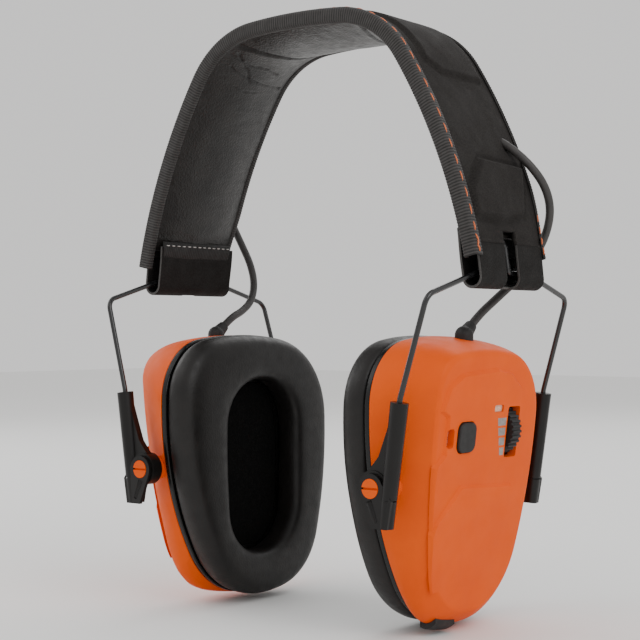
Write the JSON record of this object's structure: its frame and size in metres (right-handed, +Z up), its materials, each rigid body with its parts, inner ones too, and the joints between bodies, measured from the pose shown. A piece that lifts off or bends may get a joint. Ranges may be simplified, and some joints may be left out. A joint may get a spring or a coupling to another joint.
{
  "type": "earmuff hearing protector",
  "caption": "Folding electronic hearing protector: padded headband, wire yokes with sliding arms, and two deep ear cups with controls on the right one.",
  "frame": {"origin": "midpoint between the two ear cushions at the height of the cups' pivot screws, the middle of the wearer's head", "axes": "+Z up towards the band's crown, +X towards the wearer's cup with the controls, -Y the front"},
  "size_m": [0.1578, 0.0976, 0.2195],
  "materials": {
    "neoprene_cover": "matte, fine grained",
    "binding_tape": "woven, ribbed",
    "leatherette": "soft, satin",
    "webbing": "matte woven",
    "spring_steel": "blued spring steel",
    "black_wire": "semi-gloss black coating",
    "black_plastic": "satin, lightly textured",
    "orange_plastic": "satin, lightly textured",
    "cushion_skin": "soft smooth leatherette",
    "black_foam": "open cell foam",
    "black_rubber": "matte",
    "lead_jacket": "smooth, semi-matte",
    "rivet_metal": "blackened",
    "screw_steel": "zinc plated",
    "speaker_metal": "satin",
    "board_green": "solder resist",
    "cell_wrap": "foil pouch",
    "clear_window": "translucent",
    "metal_mesh": "woven wire",
    "steel_socket": "plated"
  },
  "bodies": {
    "headband": {"spring_band": "spring_steel", "band_cover": "neoprene_cover", "band_pad": "leatherette", "front_binding": "binding_tape", "rear_binding": "binding_tape", "band_lead": "lead_jacket", "right_end_loop": "webbing", "left_end_loop": "webbing", "right_pad_hem": "webbing", "left_pad_hem": "webbing", "right_wire_clip": "black_plastic", "left_wire_clip": "black_plastic", "right_clip_rivets": "rivet_metal", "left_clip_rivets": "rivet_metal", "right_lead": "lead_jacket", "left_lead": "lead_jacket"},
    "right_yoke": {"right_yoke_wire": "black_wire"},
    "right_arms": {"right_front_arm": "black_plastic", "right_rear_arm": "black_plastic", "right_front_pivot_plate": "black_plastic", "right_rear_pivot_plate": "black_plastic"},
    "right_cup": {"right_shell": "orange_plastic", "right_seal_plate": "black_plastic", "right_cushion": "cushion_skin", "right_foam_insert": "black_foam", "right_pivot_screws": "orange_plastic", "right_speaker": "speaker_metal", "right_strain_relief": "black_rubber", "right_housing_screws": "screw_steel", "right_microphone": "speaker_metal", "right_mic_mesh": "metal_mesh", "circuit_board": "board_green", "potentiometer": "black_plastic", "tact_switch": "black_plastic", "battery_cell": "cell_wrap", "charging_socket": "steel_socket", "indicator_window": "clear_window"},
    "left_yoke": {"left_yoke_wire": "black_wire"},
    "left_arms": {"left_front_arm": "black_plastic", "left_rear_arm": "black_plastic", "left_front_pivot_plate": "black_plastic", "left_rear_pivot_plate": "black_plastic"},
    "left_cup": {"left_shell": "orange_plastic", "left_seal_plate": "black_plastic", "left_cushion": "cushion_skin", "left_foam_insert": "black_foam", "left_pivot_screws": "orange_plastic", "left_speaker": "speaker_metal", "left_strain_relief": "black_rubber", "left_housing_screws": "screw_steel", "left_microphone": "speaker_metal", "left_mic_mesh": "metal_mesh"},
    "volume_wheel": {"volume_wheel": "black_plastic", "potentiometer_shaft": "screw_steel"},
    "power_button": {"power_button": "black_plastic"},
    "port_cover": {"port_cover": "black_rubber"}
  },
  "joints": [
    {"name": "right_fold", "type": "hinge", "parent": "headband", "child": "right_yoke", "pos_m": [0.0745, 0, 0.071], "axis": [0, 1, 0], "range_deg": [0, 35], "deforming": ["right_lead"]},
    {"name": "left_fold", "type": "hinge", "parent": "headband", "child": "left_yoke", "pos_m": [-0.0745, 0, 0.071], "axis": [0, 1, 0], "range_deg": [-35, 0], "deforming": ["left_lead"]},
    {"name": "right_height", "type": "slide", "parent": "right_yoke", "child": "right_arms", "axis": [0.1312, 0, 0.9914], "range_m": [-0.025, 0]},
    {"name": "left_height", "type": "slide", "parent": "left_yoke", "child": "left_arms", "axis": [0.1312, 0, -0.9914], "range_m": [0, 0.025]},
    {"name": "right_tilt", "type": "hinge", "parent": "right_arms", "child": "right_cup", "pos_m": [0.0531, 0, 0], "axis": [0, -1, 0], "range_deg": [-12, 12]},
    {"name": "left_tilt", "type": "hinge", "parent": "left_arms", "child": "left_cup", "pos_m": [-0.0531, 0, 0], "axis": [0, -1, 0], "range_deg": [-12, 12]},
    {"name": "volume_turn", "type": "hinge", "parent": "right_cup", "child": "volume_wheel", "pos_m": [0.06184, 0.0148, 0.01663], "axis": [0, 1, 0], "range_deg": [-135, 135]},
    {"name": "power_press", "type": "slide", "parent": "right_cup", "child": "power_button", "axis": [-0.9925, 0, 0.1219], "range_m": [0, 0.0008], "stiffness_N_per_m": 2000, "springref_m": -0.0003},
    {"name": "port_cover_open", "type": "hinge", "parent": "right_cup", "child": "port_cover", "pos_m": [0.0538, -0.0044, -0.052], "axis": [1, 0, 0], "range_deg": [0, 110]}
  ]
}
